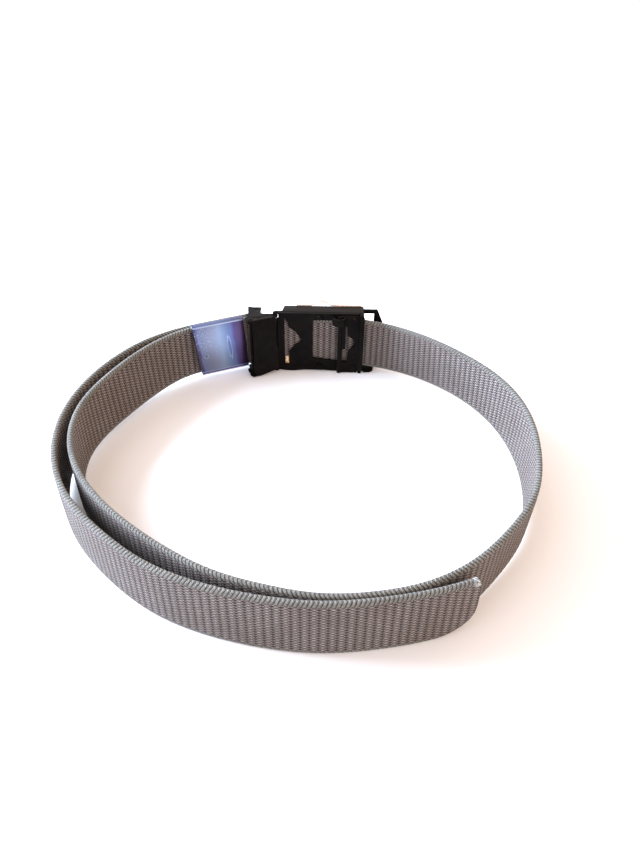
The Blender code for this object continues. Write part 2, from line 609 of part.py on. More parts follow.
def build():
    for old in list(bpy.data.objects):
        bpy.data.objects.remove(old)
    webbing = material("ribbed webbing", (0.33, 0.28, 0.26), 0.85, 0.0)
    black = material("black painted metal", (0.015, 0.014, 0.014), 0.35, 0.6)
    steel = material("filmed steel", (0.35, 0.42, 0.75), 0.15, 0.9)
    clear = material("clear film", (0.9, 0.75, 0.65), 0.2, 0.0)
    brass = material("brass", (0.72, 0.48, 0.24), 0.35, 0.8)
    pieces = [
        webbing_strap(webbing),
        belt_tip(steel),
        left_bracket(black),
        bracket_bar(black),
        release_plate(black),
        release_pin(black),
        coupling_pin("coupling_pin_top", FRAME_HEIGHT - FRAME_WALL - BRACKET_WALL - TOUCH_GAP + 0.2, black),
        coupling_pin("coupling_pin_bottom", 0.1, black),
        buckle_frame(black),
        rear_plate(black),
        spring_end(brass),
        lock_flap(black),
        flap_pin(black),
        front_film(clear),
    ]
    for label, (x, z) in zip(("top", "bottom"), PLATE_RIVETS):
        pieces.append(rivet("plate_rivet_" + label, x, z, PLATE_Y, PLATE_THICK, black))
    for label, (x, z) in zip(("top", "bottom"), FLAP_RIVETS):
        pieces.append(rivet("flap_rivet_" + label, x, z, FLAP_Y - FLAP_THICK / 2.0, FLAP_THICK, black))
    centre_on_floor(pieces)


build()
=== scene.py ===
# %% [markdown]
# # An automatic buckle belt, standing on its edge
#
# The belt is one long strip of ribbed nylon webbing with a sheet-metal buckle. Its solid
# model is already made, in metres, with the belt standing on z = 0. This lesson dresses that
# model: it weaves the webbing, rounds and paints the stamped metal, wraps the strap's metal
# tip in its blue film, and lights everything as a small studio would.

import bmesh
import bpy
import json
import math
import numpy as np
from mathutils import Matrix, Vector


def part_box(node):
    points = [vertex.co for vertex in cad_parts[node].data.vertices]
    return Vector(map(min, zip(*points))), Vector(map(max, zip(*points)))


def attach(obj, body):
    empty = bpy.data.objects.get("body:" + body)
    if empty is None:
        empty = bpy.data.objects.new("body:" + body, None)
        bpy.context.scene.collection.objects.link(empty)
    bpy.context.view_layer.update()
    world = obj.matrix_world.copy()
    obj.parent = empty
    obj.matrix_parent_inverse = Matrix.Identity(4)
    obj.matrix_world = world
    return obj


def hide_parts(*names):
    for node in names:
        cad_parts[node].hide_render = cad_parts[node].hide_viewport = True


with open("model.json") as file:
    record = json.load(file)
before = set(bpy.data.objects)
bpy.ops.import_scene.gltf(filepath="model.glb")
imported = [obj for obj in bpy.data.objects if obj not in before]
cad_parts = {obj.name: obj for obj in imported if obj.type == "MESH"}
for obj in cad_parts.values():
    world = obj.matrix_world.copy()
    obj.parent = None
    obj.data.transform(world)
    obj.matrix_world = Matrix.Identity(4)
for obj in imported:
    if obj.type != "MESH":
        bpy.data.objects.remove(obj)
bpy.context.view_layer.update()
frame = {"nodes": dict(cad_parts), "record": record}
MM = 0.001

# %% [markdown]
# ## Where the solid model stands
#
# The belt was drawn in a plan whose origin lies on the floor below the photographer. The
# solid model is centred on its own box instead, so one constant carries every plan position
# over. The buckle's frame shows that the constant is right: its flat face is at a known place.

# %% Plan positions in the model
PLAN_SHIFT = Vector((13.39, -310.21, 0.04))
FRONT_FACE_Y = 431.5


def plan(x, y, z):
    """A point of the plan, in millimetres, as a point of the model, in metres."""
    return (Vector((x, y, z)) + PLAN_SHIFT) * MM


frame_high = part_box("buckle_frame")[1]
print("front face is off by mm:", round((frame_high[1] - plan(0, FRONT_FACE_Y, 0).y) / MM, 3))

# %% [markdown]
# ## The camera comes first
#
# A small object fills the picture only from close by, and then perspective is strong: the
# near side of the loop looks much bigger than the buckle at the back. So the camera is placed
# by real distances, about 300 mm above the floor and looking down, and not by eye. The lens
# is 29.5 mm on a 36 mm high frame, and the camera is turned by one degree, as held by hand.

# %% Place the camera
CAMERA_PLAN = (0.0, -5.4, 294.6)
LOOKING_DOWN = math.radians(39.21)
HAND_TURN = math.radians(1.0)
LENS_MM = 29.54

camera_data = bpy.data.cameras.new("belt_camera")
camera_data.sensor_fit = "VERTICAL"
camera_data.sensor_height = 36.0
camera_data.lens = LENS_MM
camera_data.clip_start = 0.01
camera = bpy.data.objects.new("belt_camera", camera_data)
bpy.context.collection.objects.link(camera)
tilt = Matrix.Rotation(math.pi / 2.0 - LOOKING_DOWN, 4, "X")
turn = Matrix.Rotation(HAND_TURN, 4, "Z")
camera.matrix_world = Matrix.Translation(plan(*CAMERA_PLAN)) @ tilt @ turn
bpy.context.scene.camera = camera
print("camera is at", [round(c, 3) for c in camera.matrix_world.translation])

# %% [markdown]
# ## Helpers for materials
#
# Colours are picked as sRGB hex, as a paint chart gives them, and a shader wants them linear.
# Every node that is added is made by one helper. It takes the node's type, its settings and
# what its sockets get: a value, another node's output, or a whole node, which stands for the
# first of its outputs that is in use. The settings that come often have names of their own.
# A mix node has several pairs of inputs with the same names, so its pair goes by number.

# %% Colour and node helpers
def linear(hex_colour):
    """An sRGB hex colour as the linear colour that a shader works with."""
    channels = [int(hex_colour[i:i + 2], 16) / 255.0 for i in (1, 3, 5)]
    made = [c / 12.92 if c <= 0.04045 else ((c + 0.055) / 1.055) ** 2.4 for c in channels]
    return (*made, 1.0)


def add(tree, kind, settings=None, sockets=None):
    """Adds one node, with its settings and with a value or a link for each named socket."""
    node = tree.nodes.new(kind)
    for key, value in (settings or {}).items():
        setattr(node, key, value)
    for key, value in (sockets or {}).items():
        if isinstance(value, bpy.types.Node):
            value = next(output for output in value.outputs if output.enabled)
        if isinstance(value, bpy.types.NodeSocket):
            tree.links.new(value, node.inputs[key])
        else:
            node.inputs[key].default_value = value
    return node


def new_material(name):
    """A new material, with its node tree and its one shader."""
    made = bpy.data.materials.new(name)
    made.use_nodes = True
    return made, made.node_tree, made.node_tree.nodes["Principled BSDF"]


TIMES = {"operation": "MULTIPLY"}
TIMES_PLUS = {"operation": "MULTIPLY_ADD"}
MINUS = {"operation": "SUBTRACT"}
SIZE_OF = {"operation": "ABSOLUTE"}
FROM_NEAREST = {"operation": "PINGPONG"}
SOFT_STEP = {"interpolation_type": "SMOOTHSTEP"}
LAY_OVER = {"data_type": "RGBA"}
DYE_WITH = {"data_type": "RGBA", "blend_type": "MULTIPLY"}
MIX_UNDER, MIX_OVER = 6, 7
MIXED = 2
PAPER_WHITE = "#FBFBFA"
print("white paper is", [round(c, 3) for c in linear(PAPER_WHITE)])

# %% [markdown]
# ## A pale floor and soft studio light
#
# The belt stands on white paper inside a light tent, which is bright enough to wash the
# paper out. Its left side is cool and bright, like a window, and reaches the inside of the
# loop at the right. Its right side is warm and dimmer, and browns the inside at the left.
# Two lamps alone would leave dark shadows on the paper, so the tent glows as well and fills
# them.

# %% Floor and lamps
FLOOR_HALF = 3.0
floor_mesh = bmesh.new()
bmesh.ops.create_grid(floor_mesh, x_segments=1, y_segments=1, size=FLOOR_HALF)
floor_data = bpy.data.meshes.new("floor")
floor_mesh.to_mesh(floor_data)
floor_mesh.free()
floor = bpy.data.objects.new("floor", floor_data)
bpy.context.collection.objects.link(floor)

# name, place and aim in the plan, size in metres, watts, colour
LIGHTS = (
    ("window", (-900.0, 560.0, 430.0), (60.0, 300.0, 20.0), 0.7, 46.0, (0.70, 0.81, 1.0)),
    ("warm_wall", (800.0, 100.0, 250.0), (-60.0, 330.0, 20.0), 0.6, 1.6, (1.0, 0.72, 0.50)),
)
for name, place, aim, size, power, colour in LIGHTS:
    lamp_data = bpy.data.lights.new(name, "AREA")
    lamp_data.shape = "SQUARE"
    lamp_data.size = size
    lamp_data.energy = power
    lamp_data.color = colour
    lamp = bpy.data.objects.new(name, lamp_data)
    bpy.context.collection.objects.link(lamp)
    lamp.location = plan(*place)
    facing = plan(*aim) - lamp.location
    lamp.rotation_euler = facing.to_track_quat("-Z", "Y").to_euler()

# uncoated paper: white, with next to no shine
floor_paper, tree, surface = new_material("matt white paper")
surface.inputs["Base Color"].default_value = linear(PAPER_WHITE)
surface.inputs["Roughness"].default_value = 0.9
surface.inputs["Specular IOR Level"].default_value = 0.2
floor_data.materials.append(floor_paper)
print("lights:", len(LIGHTS))

# %% The light tent
WARM_SIDE = (0.78, 0.59, 0.46, 1.0)
COOL_SIDE = (0.92, 1.02, 1.22, 1.0)
GLOW_LEVEL, GLOW_ABOVE = 1.85, 1.35

world = bpy.data.worlds.new("light tent")
world.use_nodes = True
tree = world.node_tree
direction = add(tree, "ShaderNodeTexCoord")
towards = add(tree, "ShaderNodeSeparateXYZ", None, {0: direction.outputs["Generated"]})
from_left = add(tree, "ShaderNodeMapRange", None,
                {"Value": towards.outputs["X"], "From Min": 0.6, "From Max": -1.0})
tent_cloth = add(tree, "ShaderNodeMix", LAY_OVER,
                 {"Factor": from_left, MIX_UNDER: WARM_SIDE, MIX_OVER: COOL_SIDE})
glow = add(tree, "ShaderNodeMapRange", None,
           {"Value": towards.outputs["Z"], "To Min": GLOW_LEVEL, "To Max": GLOW_ABOVE})
surroundings = tree.nodes["Background"]
tree.links.new(tent_cloth.outputs[MIXED], surroundings.inputs["Color"])
tree.links.new(glow.outputs[0], surroundings.inputs["Strength"])
bpy.context.scene.world = world
bpy.context.scene.view_settings.view_transform = "Standard"
print("tent glows by", GLOW_LEVEL, "at its sides and", GLOW_ABOVE, "above")

# %% [markdown]
# ## The webbing's route
#
# The strap is one piece. It starts in the metal tip at the back left, runs through the
# buckle, goes once round the loop, turns back round a bar at the buckle's left side, and
# leaves outside the loop as the long free end. The same few places along it are repeated
# here that the solid model was swept through, so the woven strap lies where the solid does:
# a smooth curve through them, read at even steps, is the strap's middle line. Each place has
# its height above the floor, its lift, and a lean: how far the top lies outside the bottom.

# %% Places through the buckle
STRAP_WIDTH = 38.0
STRAP_THICK = 3.0
TOUCH_GAP = 0.3
# the buckle's frame, which the strap runs straight through
CHANNEL_Y, CHANNEL_LIFT = 423.9, 4.6
CHANNEL_STOPS = (-28.0, -14.0, 0.0, 14.0)
# x, how far the strap has come into the loop, lift, lean
CHANNEL_EXIT = (
    (28.0, 0.2, 4.2, 0.0),
    (40.0, 0.5, 2.5, -0.4),
)
# the buckle's left half, which is turned: its own s runs along the strap, and d outwards
LEFT_ORIGIN = Vector((-52.0, 418.0))
LEFT_ANGLE = math.radians(23.5)
TIP_WALL, TIP_LIFT = 0.6, 6.6
# s, and how far the strap has sunk there below its height in the tip
TIP_DROPS = (
    (-34.0, 0.0),
    (-24.0, 0.0),
    (-14.0, 0.0),
    (-6.0, 0.0),
    (-2.5, 0.0),
    (-0.3, 0.15),
    (1.5, 0.55),
    (3.0, 0.9),
)
BAR, BAR_RADIUS = (9.6, 7.6), 1.1
BAR_TURN_STEPS = 8
# d of the layer that comes in beside the tip, and of the one that leaves outside it
LAYER_IN, LAYER_OUT, LAYER_LIFT = 6.6, 10.3, 4.3
# s, and how far the layer has moved over towards the bar's side
TOWARDS_BAR = (
    (-38.0, 0.0),
    (-24.0, 0.0),
    (-8.0, 0.0),
    (-1.0, 0.0),
    (4.0, 0.55),
    (7.0, 0.85),
)
LEAVING_STOPS = (6.0, 1.0, -8.0)
print("places listed in the buckle's left half:", len(TIP_DROPS) + len(TOWARDS_BAR))

# %% Places round the loop
LOOP_CENTRE = (0.0, 286.0)
# angle in degrees and distance in mm from the loop's centre, lift, lean
LOOP = (
    (60, 139.2, 3.9, -3.3),
    (45, 136.5, 3.7, -3.6),
    (30, 133.3, 3.3, -0.7),
    (15, 127.7, 2.4, 0.8),
    (0, 121.4, 1.6, 0.6),
    (-15, 115.7, 1.2, 1.6),
    (-30, 108.9, 0.8, 1.7),
    (-45, 105.2, 0.4, 0.9),
    (-60, 101.7, 0.0, 0.0),
    (-75, 97.8, 0.0, 0.0),
    (-90, 95.7, 0.0, 0.0),
    (-105, 94.9, 0.0, -0.5),
    (-120, 97.1, 0.0, -0.5),
    (-135, 101.2, 0.0, -0.3),
    (-150, 109.6, 0.5, 0.0),
    (-165, 123.1, 1.0, 0.0),
    (-180, 138.1, 1.7, 0.0),
    (-195, 147.7, 2.3, 0.0),
    (-210, 149.1, 3.3, 2.0),
    (-222, 151.4, 4.1, 1.8),
)
TAIL = (
    (-238, 153.8, 4.2, 0.0),
    (-225, 158.6, 4.1, 0.0),
    (-210, 158.8, 3.4, 0.0),
    (-195, 155.2, 2.5, 0.0),
    (-180, 147.4, 1.7, 0.0),
    (-165, 135.3, 1.0, -0.6),
    (-150, 122.2, 0.3, 0.0),
    (-135, 113.0, 0.0, 0.0),
    (-120, 105.5, 0.0, 0.0),
    (-105, 101.1, 0.0, 0.0),
    (-90, 100.2, 0.0, 0.0),
    (-75, 101.5, 0.0, 0.0),
    (-60, 106.7, 0.0, 0.0),
    (-54, 109.9, 0.0, 0.0),
    (-51, 111.7, 0.0, 0.0),
    (-49.4, 112.7, 0.0, 0.0),
    (-48.0, 113.4, 0.0, 0.0),
)
print("places round the loop and along the free end:", len(LOOP) + len(TAIL))

# %% Join the places into one route
def left_point(s, d):
    """A point of the buckle's left half, which is turned: s along the strap, d outwards."""
    along = Vector((math.cos(LEFT_ANGLE), math.sin(LEFT_ANGLE)))
    away = Vector((-math.sin(LEFT_ANGLE), math.cos(LEFT_ANGLE)))
    point = LEFT_ORIGIN + along * s + away * d
    return point.x, point.y


def polar(row):
    """A row about the loop's centre, as a place in the plan."""
    angle, radius, lift, lean = row
    turned = math.radians(angle)
    x = LOOP_CENTRE[0] + radius * math.cos(turned)
    y = LOOP_CENTRE[1] + radius * math.sin(turned)
    return x, y, lift, lean


def strap_route():
    """Every place of the strap's middle line in turn: x, y, lift and lean."""
    route = []
    tip_middle = TIP_WALL + TOUCH_GAP + STRAP_THICK / 2.0
    for s, drop in TIP_DROPS:
        route.append((*left_point(s, tip_middle), TIP_LIFT - drop, 0.0))
    for x in CHANNEL_STOPS:
        route.append((x, CHANNEL_Y, CHANNEL_LIFT, 0.0))
    for x, inward, lift, lean in CHANNEL_EXIT:
        route.append((x, CHANNEL_Y - inward, lift, lean))
    route += [polar(row) for row in LOOP]
    turn_radius = BAR_RADIUS + TOUCH_GAP + STRAP_THICK / 2.0
    bar_side = BAR[1] - turn_radius
    for s, moved_over in TOWARDS_BAR:
        d = LAYER_IN + (bar_side - LAYER_IN) * moved_over
        route.append((*left_point(s, d), LAYER_LIFT, 0.0))
    for step in range(BAR_TURN_STEPS + 1):
        angle = math.pi * (step / BAR_TURN_STEPS - 0.5)
        s = BAR[0] + turn_radius * math.cos(angle)
        d = BAR[1] + turn_radius * math.sin(angle)
        route.append((*left_point(s, d), LAYER_LIFT, 0.0))
    for s in LEAVING_STOPS:
        route.append((*left_point(s, LAYER_OUT), LAYER_LIFT, 0.0))
    route += [polar(row) for row in TAIL]
    return np.array(route)


anchors = strap_route()
print("places on the route:", len(anchors))

# %% [markdown]
# Blender's own curves pass near their points or bend only between handles. A natural cubic
# spline passes through every place and bends as evenly as a strip does, and it is what the
# solid strap follows. One system of linear equations gives its bend at each place.

# %% Bend a smooth line through the route
FINE_STEPS = 40


def smooth_curve(anchors):
    """The bends of a natural cubic spline through the places, and the spans between them."""
    spans = np.linalg.norm(np.diff(anchors[:, :2], axis=0), axis=1)
    count = len(anchors)
    system = np.zeros((count, count))
    right = np.zeros_like(anchors)
    system[0, 0] = 1.0
    system[-1, -1] = 1.0
    for i in range(1, count - 1):
        before, after = spans[i - 1], spans[i]
        system[i, i - 1:i + 2] = (before, 2.0 * (before + after), after)
        slope_after = (anchors[i + 1] - anchors[i]) / after
        slope_before = (anchors[i] - anchors[i - 1]) / before
        right[i] = 6.0 * (slope_after - slope_before)
    return np.linalg.solve(system, right), spans


def read_curve(anchors, bends, spans, count):
    """Reads the curve at count places that are evenly spaced along its real length."""
    fine = []
    for i in range(len(spans)):
        for b in np.linspace(0.0, 1.0, FINE_STEPS, endpoint=False):
            a = 1.0 - b
            bulge = (a ** 3 - a) * bends[i] + (b ** 3 - b) * bends[i + 1]
            fine.append(a * anchors[i] + b * anchors[i + 1] + bulge * spans[i] ** 2 / 6.0)
    fine = np.array(fine + [anchors[-1]])
    strides = np.linalg.norm(np.diff(fine[:, :2], axis=0), axis=1)
    run = np.concatenate(([0.0], np.cumsum(strides)))
    wanted = np.linspace(0.0, run[-1], count)
    read = np.column_stack([np.interp(wanted, run, fine[:, k]) for k in range(4)])
    return read, wanted


bends, spans = smooth_curve(anchors)
start_and_end = read_curve(anchors, bends, spans, 2)[1]
STRAP_LENGTH = float(start_and_end[-1])
print("strap is", round(STRAP_LENGTH), "mm long")

# %% [markdown]
# ## The ribbed webbing
#
# Heavy nylon webbing has thick cross threads every few millimetres, which stand up as ribs
# on both faces, and a braided edge that is a little rounder. Ribs this big have a
# silhouette, so they are shaped in the mesh, while the single yarns are left to the shader.
# A flat grid is made by an operator, with one side along the strap and the other round its
# section, and rolled into place: each grid point is moved to the section's outline, at its
# place along the middle line. The seam is merged, and the two ends are filled.
#
# The grid's own place is kept as a UV map in metres, so the weave follows the strap.

# %% Section of the strap
RIB_PITCH = 4.25
STEPS_PER_RIB = 8
RIB_VALLEY_DEPTH = 0.42
RIB_VALLEY_HALF = 0.75
# how far the crowns stand out, and over how many mm the ribs fade at each edge
RIB_CROWN, RIB_FADE = 0.12, 2.5
# points nearer than this to the strap's middle plane are moved less
NEAR_PLANE = 0.5
EDGE_ROUND = 1.2
FACE_STEPS = 8
EDGE_STEPS = 5


def section_outline():
    """Points round the section in mm: out from the middle line, and up from the bottom edge."""
    half = STRAP_THICK / 2.0
    flat = STRAP_WIDTH - 2.0 * EDGE_ROUND
    points = []
    for k in range(EDGE_STEPS + 1):
        turned = math.pi * (k / EDGE_STEPS - 0.5)
        points.append((half * math.sin(turned), EDGE_ROUND * (1.0 - math.cos(turned))))
    for k in range(1, FACE_STEPS):
        points.append((half, EDGE_ROUND + flat * k / FACE_STEPS))
    for k in range(EDGE_STEPS + 1):
        turned = math.pi * (k / EDGE_STEPS - 0.5)
        up = STRAP_WIDTH - EDGE_ROUND * (1.0 - math.cos(turned))
        points.append((-half * math.sin(turned), up))
    for k in range(1, FACE_STEPS):
        points.append((-half, STRAP_WIDTH - EDGE_ROUND - flat * k / FACE_STEPS))
    return points


outline = section_outline()
print("points round the section:", len(outline))

# %% [markdown]
# The cut end at the front right was rounded off with scissors. Each of its corners is a
# quarter of an ellipse, long at the bottom and short at the top. The yarns run straight on
# to the cut, so there the UV map takes each point's real height.

# %% Shape of the cut end
# how far back from the end each corner starts, and how much height it takes away
LOW_CORNER = (22.0, 16.0)
TOP_CORNER = (3.0, 8.0)


def corner_cut(left, corner):
    """Height that is missing at a corner of the cut end, at a distance from the very end."""
    length, taken = corner
    near_end = max(0.0, 1.0 - left / length)
    return taken * (1.0 - math.sqrt(1.0 - near_end * near_end))


def cut_height(run, up):
    """Height of a section's point once the end's two corners are cut away."""
    to_end = STRAP_LENGTH - run
    bottom = corner_cut(to_end, LOW_CORNER)
    top = STRAP_WIDTH - corner_cut(to_end, TOP_CORNER)
    return bottom + up * (top - bottom) / STRAP_WIDTH


end_height = cut_height(STRAP_LENGTH, STRAP_WIDTH) - cut_height(STRAP_LENGTH, 0.0)
print("height left at the very end, mm:", round(end_height, 1))

# %% Lay out the grid
rib_count = round(STRAP_LENGTH / RIB_PITCH)
sections = rib_count * STEPS_PER_RIB + 1
middle, along = read_curve(anchors, bends, spans, sections)
tangent = np.gradient(middle[:, :2], axis=0)
tangent /= np.linalg.norm(tangent, axis=1)[:, None]

webbing_mesh = bmesh.new()
uv_layer_name = "weave"
bmesh.ops.create_grid(webbing_mesh, x_segments=sections - 1, y_segments=len(outline), size=1.0,
                      calc_uvs=False)
weave = webbing_mesh.loops.layers.uv.new(uv_layer_name)
around = [0.0]
for first, second in zip(outline, outline[1:] + outline[:1]):
    around.append(around[-1] + math.dist(first, second))
for vertex in webbing_mesh.verts:
    i = round((vertex.co.x + 1.0) / 2.0 * (sections - 1))
    j = round((vertex.co.y + 1.0) / 2.0 * len(outline))
    vertex.co = (i, j, 0.0)
print("grid:", sections, "sections of", len(outline), "points")

# %% [markdown]
# Every grid point now knows its section and its place round it. The UV map is taken first,
# because rolling the grid up overwrites those two numbers.

# %% Roll the grid into the strap
for face in webbing_mesh.faces:
    for loop in face.loops:
        i, j = round(loop.vert.co.x), round(loop.vert.co.y)
        out, up = outline[j % len(outline)]
        moved = (cut_height(along[i], up) - up) * out / (STRAP_THICK / 2.0)
        loop[weave].uv = (along[i] * MM, (around[j] + moved) * MM)
for vertex in webbing_mesh.verts:
    i, j = round(vertex.co.x), round(vertex.co.y) % len(outline)
    out, up = outline[j]
    x, y, lift, lean = middle[i]
    height = cut_height(along[i], up)
    past_valley = (along[i] + RIB_PITCH / 2.0) % RIB_PITCH - RIB_PITCH / 2.0
    on_face = min(1.0, min(up, STRAP_WIDTH - up) / RIB_FADE)
    sunk = RIB_VALLEY_DEPTH * math.exp(-(past_valley / RIB_VALLEY_HALF) ** 2) * on_face
    puffed = out + math.copysign(RIB_CROWN - sunk, out) * min(1.0, abs(out) / NEAR_PLANE)
    side = puffed - lean * (height / STRAP_WIDTH - 0.5)
    across = (tangent[i][1], -tangent[i][0])
    vertex.co = plan(x + across[0] * side, y + across[1] * side, lift + height)
bmesh.ops.remove_doubles(webbing_mesh, verts=webbing_mesh.verts, dist=1e-6)
rims = [edge for edge in webbing_mesh.edges if edge.is_boundary]
bmesh.ops.holes_fill(webbing_mesh, edges=rims)
bmesh.ops.recalc_face_normals(webbing_mesh, faces=webbing_mesh.faces)
webbing_data = bpy.data.meshes.new("woven_webbing")
webbing_mesh.to_mesh(webbing_data)
webbing_mesh.free()
webbing_data.shade_smooth()
webbing = bpy.data.objects.new("woven_webbing", webbing_data)
bpy.context.collection.objects.link(webbing)
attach(webbing, "belt")
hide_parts("webbing_strap")
print("webbing:", rib_count, "ribs,", len(webbing_data.polygons), "faces")

# %% [markdown]
# ## What nylon webbing looks like
#
# The yarns run along the strap in rows about 1 mm apart. Each row dives under a cross
# thread once per rib: every other row in the valley, and the rows between them half-way, in
# a shallower dip. The gaps where they dive get painted shade, and so lie like the joints of
# a brick wall. Every yarn is twisted from fine filaments, which show as short slanted lines.
# The two edges are braided over in small arcs that two finer lines cross. Dye and wear
# leave slow changes of tone, and at the cut end the top corner has frayed and gone white.
#
# A picture of webbing would tile, and it would blur close by. So the weave is worked out
# from distances instead: the UV map gives each point's real millimetres along the strap and
# round its section, and each yarn, gap and rib is the distance to the nearest of a row.

# %% Where the yarns run and dive
ROW_PITCH = 0.97
GAP_HALF = 1.45
# nylon filaments are hair-thin: drawn coarse, at 0.62 mm, so that they show at all
FILAMENT_PITCH = 0.62
FILAMENT_SLANT = 1.1

# woven nylon yarn is dull, with a faint sheen where its filaments graze the light
nylon, tree, surface = new_material("ribbed nylon webbing")
uv = add(tree, "ShaderNodeUVMap", {"uv_map": uv_layer_name})
place = add(tree, "ShaderNodeSeparateXYZ", None, {0: uv})
run_mm = add(tree, "ShaderNodeMath", TIMES, {0: place.outputs["X"], 1: 1.0 / MM})
round_mm = add(tree, "ShaderNodeMath", TIMES, {0: place.outputs["Y"], 1: 1.0 / MM})

row_turn = add(tree, "ShaderNodeMath", TIMES, {0: round_mm, 1: math.pi / ROW_PITCH})
row_wave = add(tree, "ShaderNodeMath", {"operation": "SINE"}, {0: row_turn})
yarn_round = add(tree, "ShaderNodeMath", SIZE_OF, {0: row_wave})
row_side = add(tree, "ShaderNodeMath", {"operation": "SIGN"}, {0: row_wave})

run_on = add(tree, "ShaderNodeMath", {"operation": "ADD"}, {0: run_mm, 1: RIB_PITCH / 4.0})
row_run = add(tree, "ShaderNodeMath", TIMES_PLUS, {0: row_side, 1: -RIB_PITCH / 4.0, 2: run_on})
from_dive = add(tree, "ShaderNodeMath", FROM_NEAREST, {0: row_run, 1: RIB_PITCH / 2.0})
dipped = add(tree, "ShaderNodeMapRange", SOFT_STEP,
             {"Value": from_dive, "From Min": 1.15 * GAP_HALF, "From Max": 0.5 * GAP_HALF})
row_depth = add(tree, "ShaderNodeMath", TIMES_PLUS, {0: row_side, 1: 0.12, 2: 0.88})
dive = add(tree, "ShaderNodeMath", TIMES, {0: dipped, 1: row_depth})
in_row = add(tree, "ShaderNodeMapRange", SOFT_STEP,
             {"Value": yarn_round, "From Min": 0.05, "From Max": 0.55})
# painted shade in the gaps where a row dives under a cross thread
painted_gap_shade = add(tree, "ShaderNodeMath", TIMES, {0: dive, 1: in_row})

from_valley = add(tree, "ShaderNodeMath", FROM_NEAREST, {0: run_mm, 1: RIB_PITCH / 2.0})
valley = add(tree, "ShaderNodeMapRange", SOFT_STEP,
             {"Value": from_valley, "From Min": 0.9, "From Max": 0.1})
slanted = add(tree, "ShaderNodeMath", TIMES_PLUS, {0: round_mm, 1: FILAMENT_SLANT, 2: run_mm})
twist = add(tree, "ShaderNodeMath", TIMES, {0: slanted, 1: 2.0 * math.pi / FILAMENT_PITCH})
filament = add(tree, "ShaderNodeMath", {"operation": "SINE"}, {0: twist})
print("rows across a face:", round(STRAP_WIDTH / ROW_PITCH))

# %% [markdown]
# An edge is found in the same way, as a distance round the section from the middle of
# either edge. The braid's arcs and the lines across them are slanted by adding that distance,
# times a slant, to the distance along the strap.

# %% Where the edges are braided over
BRAID_PITCH = RIB_PITCH / 2.0
BRAID_REACH = 3.0
LOOP_SLANT = 0.55
CROSS_SLANT = -1.1
edge_middle = around[EDGE_STEPS] / 2.0
half_way_round = around[-1] / 2.0

past_edge = add(tree, "ShaderNodeMath", MINUS, {0: round_mm, 1: edge_middle})
from_edge = add(tree, "ShaderNodeMath", FROM_NEAREST, {0: past_edge, 1: half_way_round / 2.0})
braided = add(tree, "ShaderNodeMapRange", SOFT_STEP,
              {"Value": from_edge, "From Min": BRAID_REACH + 0.3, "From Max": BRAID_REACH - 0.5})
loop_run = add(tree, "ShaderNodeMath", TIMES_PLUS, {0: from_edge, 1: LOOP_SLANT, 2: run_mm})
from_loop = add(tree, "ShaderNodeMath", FROM_NEAREST, {0: loop_run, 1: BRAID_PITCH / 2.0})
loop_line = add(tree, "ShaderNodeMapRange", SOFT_STEP,
                {"Value": from_loop, "From Min": 0.6, "From Max": 0.1})
cross_run = add(tree, "ShaderNodeMath", TIMES_PLUS, {0: from_edge, 1: CROSS_SLANT, 2: run_mm})
from_cross = add(tree, "ShaderNodeMath", FROM_NEAREST, {0: cross_run, 1: BRAID_PITCH / 4.0})
cross_line = add(tree, "ShaderNodeMapRange", SOFT_STEP,
                 {"Value": from_cross, "From Min": 0.32, "From Max": 0.08})
print("braid reaches mm in from an edge:", BRAID_REACH)

# %% [markdown]
# The yarn's own tone varies in small spots, from a dusty brown to a pale one, and slow noise
# wears it and makes it warmer or cooler. Painted shade is then laid over it, one by one,
# where shade falls in the weave: between the rows, in the ribs' valleys, between the
# filaments and in the gaps.

# %% Colour of the face, with painted shade in the weave
SPOT_MM = 0.9
SLOW_MM = 22.0
WARM_DYE = (1.08, 0.97, 0.92, 1.0)
COOL_DYE = (0.92, 1.0, 1.1, 1.0)
spots = add(tree, "ShaderNodeTexNoise", None,
            {"Vector": uv, "Scale": 1.0 / (SPOT_MM * MM), "Detail": 2.0, "Roughness": 0.6})
slow = add(tree, "ShaderNodeTexNoise", None,
           {"Vector": uv, "Scale": 1.0 / (SLOW_MM * MM), "Detail": 3.0, "Roughness": 0.6})
tone = add(tree, "ShaderNodeValToRGB", None, {"Fac": spots})
tone.color_ramp.elements[0].position = 0.32
tone.color_ramp.elements[0].color = linear("#87786F")
tone.color_ramp.elements[1].position = 0.68
tone.color_ramp.elements[1].color = linear("#DACCC2")
worn = add(tree, "ShaderNodeMapRange", None,
           {"Value": slow, "From Min": 0.3, "From Max": 0.7, "To Min": 0.82, "To Max": 1.12})
tint = add(tree, "ShaderNodeMix", LAY_OVER,
           {"Factor": slow, MIX_UNDER: WARM_DYE, MIX_OVER: COOL_DYE})
face = add(tree, "ShaderNodeMix", DYE_WITH, {"Factor": 1.0, MIX_UNDER: tone, MIX_OVER: worn})
face = add(tree, "ShaderNodeMix", DYE_WITH, {"Factor": 1.0, MIX_UNDER: face, MIX_OVER: tint})
# painted shade between the rows, in the ribs' valleys and between the filaments
painted_shade_between_rows = add(tree, "ShaderNodeMath", TIMES_PLUS, {0: yarn_round, 1: -0.95, 2: 0.95})
painted_valley_shade = add(tree, "ShaderNodeMath", TIMES, {0: valley, 1: 0.7})
painted_filament_shade = add(tree, "ShaderNodeMapRange", SOFT_STEP,
                     {"Value": filament, "From Min": 0.2, "From Max": -0.9, "To Max": 0.35})
# each painted shade: where it falls, and its dark colour
FACE_PAINTED_SHADE = (
    (painted_shade_between_rows, "#33271F"),
    (painted_valley_shade, "#150E0C"),
    (painted_filament_shade, "#3A2D26"),
    (painted_gap_shade, "#070404"),
)
for amount, colour in FACE_PAINTED_SHADE:
    face = add(tree, "ShaderNodeMix", LAY_OVER,
               {"Factor": amount, MIX_UNDER: face, MIX_OVER: linear(colour)})
print("shades laid over the yarn's own tone:", len(FACE_PAINTED_SHADE))

